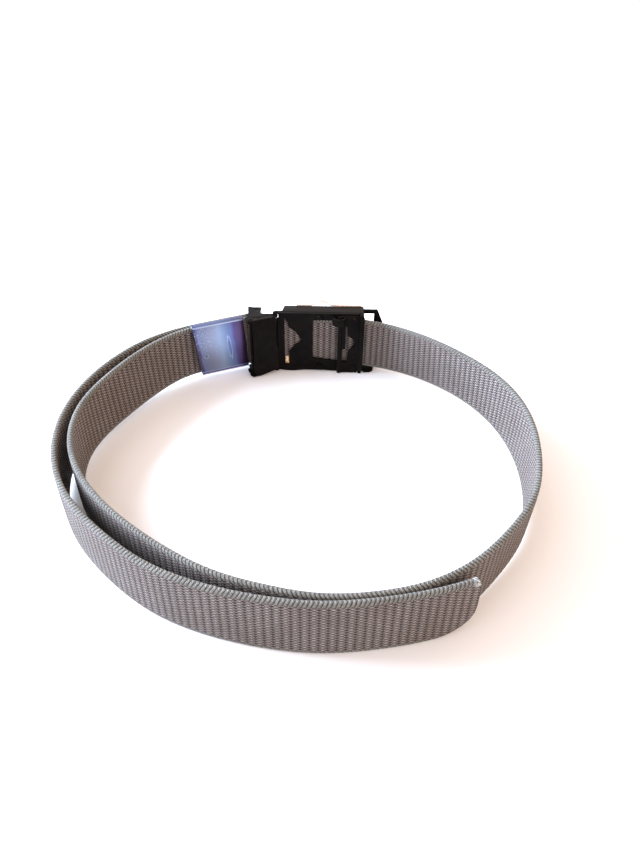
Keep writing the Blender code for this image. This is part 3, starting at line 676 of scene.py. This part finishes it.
# %% Colour of the braided edges
braid = linear("#95948C")
# painted shade in the braid's grooves, along its arcs and its cross lines: mask, strength, colour
BRAID_PAINTED_SHADE = (
    (loop_line, 0.85, "#1E1A18"),
    (cross_line, 0.8, "#2A2622"),
)
for line, strength, colour in BRAID_PAINTED_SHADE:
    amount = add(tree, "ShaderNodeMath", TIMES, {0: line, 1: strength})
    braid = add(tree, "ShaderNodeMix", LAY_OVER,
                {"Factor": amount, MIX_UNDER: braid, MIX_OVER: linear(colour)})
speckle = add(tree, "ShaderNodeMapRange", None,
              {"Value": spots, "From Min": 0.35, "From Max": 0.65, "To Min": 0.6, "To Max": 1.25})
braid = add(tree, "ShaderNodeMix", DYE_WITH, {"Factor": 1.0, MIX_UNDER: braid, MIX_OVER: worn})
braid = add(tree, "ShaderNodeMix", DYE_WITH, {"Factor": 1.0, MIX_UNDER: braid, MIX_OVER: speckle})
woven_colour_and_shade = add(tree, "ShaderNodeMix", LAY_OVER, {"Factor": braided, MIX_UNDER: face, MIX_OVER: braid})
print("shades laid over the braid:", len(BRAID_PAINTED_SHADE))

# %% White tuft at the frayed corner
FRAY_STARTS = STRAP_LENGTH - 6.0
FRAY_FULL = STRAP_LENGTH - 2.0
at_end = add(tree, "ShaderNodeMapRange", SOFT_STEP,
             {"Value": run_mm, "From Min": FRAY_STARTS, "From Max": FRAY_FULL})
past_top = add(tree, "ShaderNodeMath", MINUS, {0: round_mm, 1: half_way_round + edge_middle})
from_top = add(tree, "ShaderNodeMath", FROM_NEAREST, {0: past_top, 1: half_way_round})
top_corner = add(tree, "ShaderNodeMapRange", SOFT_STEP,
                 {"Value": from_top, "From Min": 6.0, "From Max": 3.5})
loose = add(tree, "ShaderNodeMapRange", SOFT_STEP,
            {"Value": spots, "From Min": 0.57, "From Max": 0.47})
tuft = add(tree, "ShaderNodeMath", TIMES, {0: top_corner, 1: loose})
frayed = add(tree, "ShaderNodeMath", TIMES, {0: at_end, 1: tuft})
woven_colour_and_shade = add(tree, "ShaderNodeMix", LAY_OVER,
           {"Factor": frayed, MIX_UNDER: woven_colour_and_shade, MIX_OVER: linear("#D3DCE0")})
tree.links.new(woven_colour_and_shade.outputs[MIXED], surface.inputs["Base Color"])
print("frayed length, mm:", STRAP_LENGTH - FRAY_STARTS)

# %% [markdown]
# The yarns are too many to model one by one, so their roundness is only a bump, about a
# third of a millimetre deep. It comes from the same distances as the colour, so the light
# catches each yarn exactly where it is drawn.

# %% Relief and shine of the webbing
YARN_RELIEF = 0.35 * MM
dived = add(tree, "ShaderNodeMath", TIMES_PLUS, {0: dive, 1: -0.9, 2: yarn_round})
woven_height = add(tree, "ShaderNodeMath", TIMES_PLUS, {0: filament, 1: 0.12, 2: dived})
crossed = add(tree, "ShaderNodeMath", TIMES, {0: cross_line, 1: -0.4})
edge_height = add(tree, "ShaderNodeMath", TIMES_PLUS, {0: loop_line, 1: -0.8, 2: crossed})
relief_height = add(tree, "ShaderNodeMix", {"data_type": "FLOAT"},
                    {"Factor": braided, 2: woven_height, 3: edge_height})
relief = add(tree, "ShaderNodeBump", None,
             {"Strength": 1.0, "Distance": YARN_RELIEF, "Height": relief_height})
tree.links.new(relief.outputs["Normal"], surface.inputs["Normal"])
surface.inputs["Roughness"].default_value = 0.8
surface.inputs["Specular IOR Level"].default_value = 0.3
surface.inputs["Sheen Weight"].default_value = 0.12
surface.inputs["Sheen Roughness"].default_value = 0.5
webbing_data.materials.append(nylon)
print("material:", nylon.name)

# %% [markdown]
# ## Rounded, painted sheet metal
#
# Stamped plates have slightly rounded edges, and paint rounds them more. That thin bright
# line along each edge is what makes sheet metal look real. The solid model's plates are
# sharp, so each is copied, its loose triangles are merged, the flat areas are dissolved back
# into single faces, and only its sharp edges are bevelled.

# %% Satin black paint
# baked powder coat: deep black, with a soft and slightly uneven shine
GRAIN_MM = 0.4
RUB_MM = 7.0
GRAIN_RELIEF = 0.05 * MM
paint, tree, surface = new_material("satin black powder coat on steel")
spot = add(tree, "ShaderNodeTexCoord")
grain = add(tree, "ShaderNodeTexNoise", None,
            {"Vector": spot.outputs["Object"], "Scale": 1.0 / (GRAIN_MM * MM), "Detail": 2.0})
rub = add(tree, "ShaderNodeTexNoise", None,
          {"Vector": spot.outputs["Object"], "Scale": 1.0 / (RUB_MM * MM), "Detail": 4.0})
paint_tone = add(tree, "ShaderNodeValToRGB", None, {"Fac": rub})
paint_tone.color_ramp.elements[0].position = 0.35
paint_tone.color_ramp.elements[0].color = linear("#0C0907")
paint_tone.color_ramp.elements[1].position = 0.75
paint_tone.color_ramp.elements[1].color = linear("#15110D")
tree.links.new(paint_tone.outputs["Color"], surface.inputs["Base Color"])
paint_rough = add(tree, "ShaderNodeMapRange", None, {"Value": rub, "To Min": 0.3, "To Max": 0.45})
tree.links.new(paint_rough.outputs[0], surface.inputs["Roughness"])
paint_relief = add(tree, "ShaderNodeBump", None,
                   {"Strength": 0.25, "Distance": GRAIN_RELIEF, "Height": grain})
tree.links.new(paint_relief.outputs["Normal"], surface.inputs["Normal"])
surface.inputs["Specular IOR Level"].default_value = 0.07
surface.inputs["Specular Tint"].default_value = (0.40, 0.42, 0.55, 1.0)
print("material:", paint.name)

# %% Round and paint every metal piece
# each piece, and how wide its rounded edges are in mm
METAL = {
    "buckle_frame": 0.45,
    "rear_plate": 0.3,
    "lock_flap": 0.3,
    "left_bracket": 0.35,
    "release_plate": 0.4,
    "release_pin": 0.25,
    "bracket_bar": 0.2,
    "coupling_pin_top": 0.3,
    "coupling_pin_bottom": 0.3,
    "flap_pin": 0.2,
    "plate_rivet_top": 0.15,
    "plate_rivet_bottom": 0.15,
    "flap_rivet_top": 0.15,
    "flap_rivet_bottom": 0.15,
}
SHARP = math.radians(32.0)
SHADED_SHARP = math.radians(50.0)
SAME_PLANE = math.radians(1.0)
SAME_POINT = 0.002 * MM


def body_with(node):
    """The body that a node of the solid model belongs to."""
    bodies = frame["record"]["behaviour"]["bodies"]
    return next(name for name, nodes in bodies.items() if node in nodes)


def rounded_copy(node, width):
    """A copy of a solid with its sharp edges rounded by width, in mm."""
    source = frame["nodes"][node]
    copy_mesh = bmesh.new()
    copy_mesh.from_mesh(source.data)
    bmesh.ops.remove_doubles(copy_mesh, verts=copy_mesh.verts, dist=SAME_POINT)
    bmesh.ops.dissolve_limit(copy_mesh, angle_limit=SAME_PLANE, verts=copy_mesh.verts,
                             edges=copy_mesh.edges)
    joined = [edge for edge in copy_mesh.edges if len(edge.link_faces) == 2]
    sharp = [edge for edge in joined if edge.calc_face_angle(0.0) > SHARP]
    bmesh.ops.bevel(copy_mesh, geom=sharp, offset=width * MM, offset_type="OFFSET", segments=2,
                    profile=0.5, affect="EDGES", clamp_overlap=True, material=-1)
    made_data = bpy.data.meshes.new(node + "_rounded")
    copy_mesh.to_mesh(made_data)
    copy_mesh.free()
    made_data.shade_smooth()
    made_data.set_sharp_from_angle(angle=SHADED_SHARP)
    made = bpy.data.objects.new(node + "_rounded", made_data)
    bpy.context.collection.objects.link(made)
    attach(made, body_with(node))
    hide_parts(node)
    return made


for node, width in METAL.items():
    piece = rounded_copy(node, width)
    piece.data.materials.append(paint)
print("painted pieces:", len(METAL))

# %% [markdown]
# ## The strap's metal tip
#
# The tip is thin bright steel, folded round the strap's end. It still has its blue
# protective film, so it mirrors the room softly. Towards the buckle the film is doubled and
# turns violet, and there a painted reflection of the dark buckle darkens it further; at the
# far end it is folded round the slanting edge. The film has a long narrow blister and a small
# round one, whose rims get painted highlights, and dust under it. Its edges are turned over
# at the bottom, painted as a light line below a dark one: a painted highlight under painted
# shade. The top rim gets a painted highlight, and the top face above it painted shade.
# Its broad tones change mostly along its length, so one colour ramp holds them, and slow
# noise moves their borders a little.

# %% Tones and blisters of the blue film
# the tip's far end leans over by 3.8 mm in its 39.8 mm of height
TIP_LEAN = 3.8 / 39.8
TIP_FACE = 35.4
# share of the way along the film, from its far end to the buckle; the dark violet towards
# the buckle is partly the doubled film and partly a painted reflection of the buckle
FILM_TONES_AND_REFLECTION = (
    (0.0, "#3E3C68"),
    (0.045, "#464577"),
    (0.075, "#657090"),
    (0.30, "#788099"),
    (0.50, "#8093B2"),
    (0.66, "#60749E"),
    (0.74, "#5A659A"),
    (0.80, "#4E4172"),
    (1.0, "#432F4A"),
)
# height above the floor in mm, for the rims that are turned over at the bottom and the top:
# painted highlights, with painted shade in a line above the bottom one and on the top face
RIM_LIGHT_AND_SHADE = (
    (5.7, "#B9A9CF"),
    (6.6, "#B9A9CF"),
    (6.9, "#3B2F5E"),
    (7.5, "#3B2F5E"),
    (7.9, "#A9BBE2"),
    (8.7, "#808080"),
    (44.0, "#808080"),
    (44.5, "#B4C3E4"),
    (45.2, "#B4C3E4"),
    (45.5, "#4C5678"),
)
# place along the film and height above the floor, half width and half height, in mm
BLISTERS = (
    (23.4, 24.7, 1.3, 9.2),
    (5.6, 21.0, 1.5, 1.8),
)
print("tones along the film:", len(FILM_TONES_AND_REFLECTION))

# %% Places on the tip
CLOUD_MM = 14.0
# share of the way along the film at which the left half's origin lies
ORIGIN_SHARE = 0.98
# rolled bright steel under polythene film: a soft mirror, tinted by the film
film_steel, tree, surface = new_material("bright steel under blue film")
spot = add(tree, "ShaderNodeTexCoord")
tip_direction = (math.cos(LEFT_ANGLE), math.sin(LEFT_ANGLE), TIP_LEAN)
tip_right = Vector(tip_direction).dot(plan(*LEFT_ORIGIN, 0.0))
start_share = ORIGIN_SHARE - tip_right / (TIP_FACE * MM)
run = add(tree, "ShaderNodeVectorMath", {"operation": "DOT_PRODUCT"},
          {0: spot.outputs["Object"], 1: tip_direction})
share = add(tree, "ShaderNodeMath", TIMES_PLUS,
            {0: run.outputs["Value"], 1: 1.0 / (TIP_FACE * MM), 2: start_share})
film_run = add(tree, "ShaderNodeMath", TIMES, {0: share, 1: TIP_FACE})
tip_axes = add(tree, "ShaderNodeSeparateXYZ", None, {0: spot.outputs["Object"]})
height_mm = add(tree, "ShaderNodeMath", TIMES, {0: tip_axes.outputs["Z"], 1: 1.0 / MM})
clouds = add(tree, "ShaderNodeTexNoise", None,
             {"Vector": spot.outputs["Object"], "Scale": 1.0 / (CLOUD_MM * MM), "Detail": 3.0,
              "Roughness": 0.5})
print("along the tip, the left half's origin is at m:", round(tip_right, 4))

# %% Tones along the film, and painted highlights and shade up its turned-over rims
TONE_WANDER = 0.10
lowest, highest = RIM_LIGHT_AND_SHADE[0][0], RIM_LIGHT_AND_SHADE[-1][0]
rim_light_stops = []
for height, colour in RIM_LIGHT_AND_SHADE:
    rim_light_stops.append(((height - lowest) / (highest - lowest), colour))
wander = add(tree, "ShaderNodeMath", MINUS, {0: clouds, 1: 0.5})
waved = add(tree, "ShaderNodeMath", TIMES_PLUS, {0: wander, 1: TONE_WANDER, 2: share})
height_share = add(tree, "ShaderNodeMapRange", None,
                   {"Value": height_mm, "From Min": lowest, "From Max": highest})
filmed = add(tree, "ShaderNodeValToRGB", None, {"Fac": waved})
levels = add(tree, "ShaderNodeValToRGB", None, {"Fac": height_share})
for graded, tones in ((filmed, FILM_TONES_AND_REFLECTION), (levels, rim_light_stops)):
    stops = graded.color_ramp.elements
    while len(stops) < len(tones):
        stops.new(0.5)
    for stop, (position, colour) in zip(stops, tones):
        stop.position = position
        stop.color = linear(colour)
print("levels up the film:", len(rim_light_stops))

# %% [markdown]
# A blister is an ellipse: at a distance of 1 from its middle, counted in its own half width
# and half height, lies its rim. The film is drawn darker inside, and a painted highlight runs
# along the rim, which noise breaks up.

# %% Dust, and blisters with painted rim highlights
# dust grains are finer than a pixel: drawn coarse, at 0.7 mm, so that they show
DUST_MM = 0.7
dust = add(tree, "ShaderNodeTexNoise", None,
           {"Vector": spot.outputs["Object"], "Scale": 1.0 / (DUST_MM * MM), "Detail": 2.0,
            "Roughness": 0.7})
dusty = add(tree, "ShaderNodeMapRange", SOFT_STEP,
            {"Value": dust, "From Min": 0.58, "From Max": 0.72})
dust_along = add(tree, "ShaderNodeMapRange", SOFT_STEP,
                 {"Value": share, "From Min": 0.6, "From Max": 0.25})
dust_up = add(tree, "ShaderNodeMapRange", SOFT_STEP,
              {"Value": height_mm, "From Min": 12.0, "From Max": 34.0})
dust_place = add(tree, "ShaderNodeMath", TIMES, {0: dust_along, 1: dust_up})
dust_share = add(tree, "ShaderNodeMath", TIMES, {0: dusty, 1: dust_place})
filmed = add(tree, "ShaderNodeMix", LAY_OVER,
             {"Factor": dust_share, MIX_UNDER: filmed, MIX_OVER: linear("#C3D0E8")})
for run_at, height_at, half_width, half_height in BLISTERS:
    wide = add(tree, "ShaderNodeMath", TIMES_PLUS,
               {0: film_run, 1: 1.0 / half_width, 2: -run_at / half_width})
    tall = add(tree, "ShaderNodeMath", TIMES_PLUS,
               {0: height_mm, 1: 1.0 / half_height, 2: -height_at / half_height})
    across = add(tree, "ShaderNodeCombineXYZ", None, {"X": wide, "Y": tall})
    away = add(tree, "ShaderNodeVectorMath", {"operation": "LENGTH"}, {0: across}).outputs["Value"]
    hollow = add(tree, "ShaderNodeMapRange", SOFT_STEP,
                 {"Value": away, "From Min": 0.9, "From Max": 0.3, "To Max": 0.3})
    filmed = add(tree, "ShaderNodeMix", LAY_OVER,
                 {"Factor": hollow, MIX_UNDER: filmed, MIX_OVER: linear("#3F4A78")})
    # the rim's painted highlight, broken up by noise
    past_rim = add(tree, "ShaderNodeMath", MINUS, {0: away, 1: 1.0})
    from_rim = add(tree, "ShaderNodeMath", SIZE_OF, {0: past_rim})
    rim = add(tree, "ShaderNodeMapRange", SOFT_STEP,
              {"Value": from_rim, "From Min": 0.25, "From Max": 0.05, "To Max": 0.45})
    unbroken = add(tree, "ShaderNodeMapRange", SOFT_STEP,
                   {"Value": dust, "From Min": 0.4, "From Max": 0.6})
    blister_rim_highlight = add(tree, "ShaderNodeMath", TIMES, {0: rim, 1: unbroken})
    filmed = add(tree, "ShaderNodeMix", LAY_OVER,
                 {"Factor": blister_rim_highlight, MIX_UNDER: filmed, MIX_OVER: linear("#CBD8EE")})
print("blisters:", len(BLISTERS))

# %% Painted rim highlights and shade, ripples and shine of the tip
RIM_LIGHT_STRENGTH = 0.75
FILM_RELIEF = 0.3 * MM
# painted highlight and shade, laid on at the bottom rim and from the top rim up
low_rim_light = add(tree, "ShaderNodeMapRange", SOFT_STEP,
              {"Value": height_mm, "From Min": 8.7, "From Max": 7.9, "To Max": RIM_LIGHT_STRENGTH})
top_rim_light = add(tree, "ShaderNodeMapRange", SOFT_STEP,
              {"Value": height_mm, "From Min": 44.0, "From Max": 44.5, "To Max": RIM_LIGHT_STRENGTH})
at_painted_rim_light = add(tree, "ShaderNodeMath", {"operation": "MAXIMUM"}, {0: low_rim_light, 1: top_rim_light})
filmed = add(tree, "ShaderNodeMix", LAY_OVER,
             {"Factor": at_painted_rim_light, MIX_UNDER: filmed, MIX_OVER: levels})
tree.links.new(filmed.outputs[MIXED], surface.inputs["Base Color"])
ripple = add(tree, "ShaderNodeBump", None,
             {"Strength": 0.25, "Distance": FILM_RELIEF, "Height": clouds})
tree.links.new(ripple.outputs["Normal"], surface.inputs["Normal"])
surface.inputs["Metallic"].default_value = 0.8
surface.inputs["Roughness"].default_value = 0.3
surface.inputs["Coat Weight"].default_value = 0.3
surface.inputs["Coat Roughness"].default_value = 0.12
tip = rounded_copy("belt_tip", 0.25)
tip.data.materials.append(film_steel)
print("material:", film_steel.name)

# %% [markdown]
# ## The spring's end
#
# In the narrow leg of the arrow window the end of the buckle's flat spring shows. It is the
# only bare metal: dull yellow brass, browned where the lever rubs it. So little of it shows
# that two tones and one noise are enough.

# %% Dull brass
# rolled, tarnished spring brass: about half a metal's shine is left
RUBBED_MM = 2.0
brass, tree, surface = new_material("dull brass")
spot = add(tree, "ShaderNodeTexCoord")
rubbed = add(tree, "ShaderNodeTexNoise", None,
             {"Vector": spot.outputs["Object"], "Scale": 1.0 / (RUBBED_MM * MM), "Detail": 2.0})
brown = add(tree, "ShaderNodeValToRGB", None, {"Fac": rubbed})
brown.color_ramp.elements[0].position = 0.38
brown.color_ramp.elements[0].color = linear("#A5794F")
brown.color_ramp.elements[1].position = 0.55
brown.color_ramp.elements[1].color = linear("#F0D3A6")
tree.links.new(brown.outputs["Color"], surface.inputs["Base Color"])
surface.inputs["Metallic"].default_value = 0.4
surface.inputs["Roughness"].default_value = 0.45
spring = rounded_copy("spring_end", 0.15)
spring.data.materials.append(brass)
print("material:", brass.name)

# %% [markdown]
# ## The loose clear film on the front face
#
# A sheet of warm, nearly clear protective film lies on the buckle's flat outer face and has
# lifted off it in one bubble at the top. Only its cut rim is seen from inside the loop: a
# rim shows the film's whole depth at once, so it is browner and denser than the sheet. The
# solid has the right shape already and keeps it. The rim is found by working out the
# bubble's top line once more, and measuring down from it.

# %% Clear film
FILM_TOP = 48.6
BUBBLE_HALF, BUBBLE_RISE = 8.0, 1.4
SHEET_DENSITY, RIM_DENSITY = 0.1, 0.95
# blown polythene: smooth and see-through, a little cloudy where it is seen edge-on
clear, tree, surface = new_material("loose polythene film")
spot = add(tree, "ShaderNodeTexCoord")
film_place = add(tree, "ShaderNodeSeparateXYZ", None, {0: spot.outputs["Object"]})
x_mm = add(tree, "ShaderNodeMath", TIMES_PLUS,
           {0: film_place.outputs["X"], 1: 1.0 / MM, 2: -PLAN_SHIFT.x})
z_mm = add(tree, "ShaderNodeMath", TIMES_PLUS,
           {0: film_place.outputs["Z"], 1: 1.0 / MM, 2: -PLAN_SHIFT.z})
from_middle = add(tree, "ShaderNodeMath", SIZE_OF, {0: x_mm})
bubble_turn = add(tree, "ShaderNodeMapRange", None,
                  {"Value": from_middle, "From Max": BUBBLE_HALF, "To Max": math.pi})
swell = add(tree, "ShaderNodeMath", {"operation": "COSINE"}, {0: bubble_turn})
top_mm = add(tree, "ShaderNodeMath", TIMES_PLUS,
             {0: swell, 1: BUBBLE_RISE / 2.0, 2: FILM_TOP + BUBBLE_RISE / 2.0})
below_top = add(tree, "ShaderNodeMath", MINUS, {0: top_mm, 1: z_mm})
rim = add(tree, "ShaderNodeMapRange", SOFT_STEP,
          {"Value": below_top, "From Min": 1.1, "From Max": 0.55})
sheet_tone = add(tree, "ShaderNodeMix", LAY_OVER,
                 {"Factor": rim, MIX_UNDER: linear("#D8B39A"), MIX_OVER: linear("#8A5A3F")})
density = add(tree, "ShaderNodeMath", TIMES_PLUS,
              {0: rim, 1: RIM_DENSITY - SHEET_DENSITY, 2: SHEET_DENSITY})
tree.links.new(sheet_tone.outputs[MIXED], surface.inputs["Base Color"])
tree.links.new(density.outputs[0], surface.inputs["Alpha"])
surface.inputs["Roughness"].default_value = 0.22
surface.inputs["Subsurface Weight"].default_value = 0.2
film_node = frame["nodes"]["front_film"]
film_node.data.materials.clear()
film_node.data.materials.append(clear)
print("material:", clear.name)
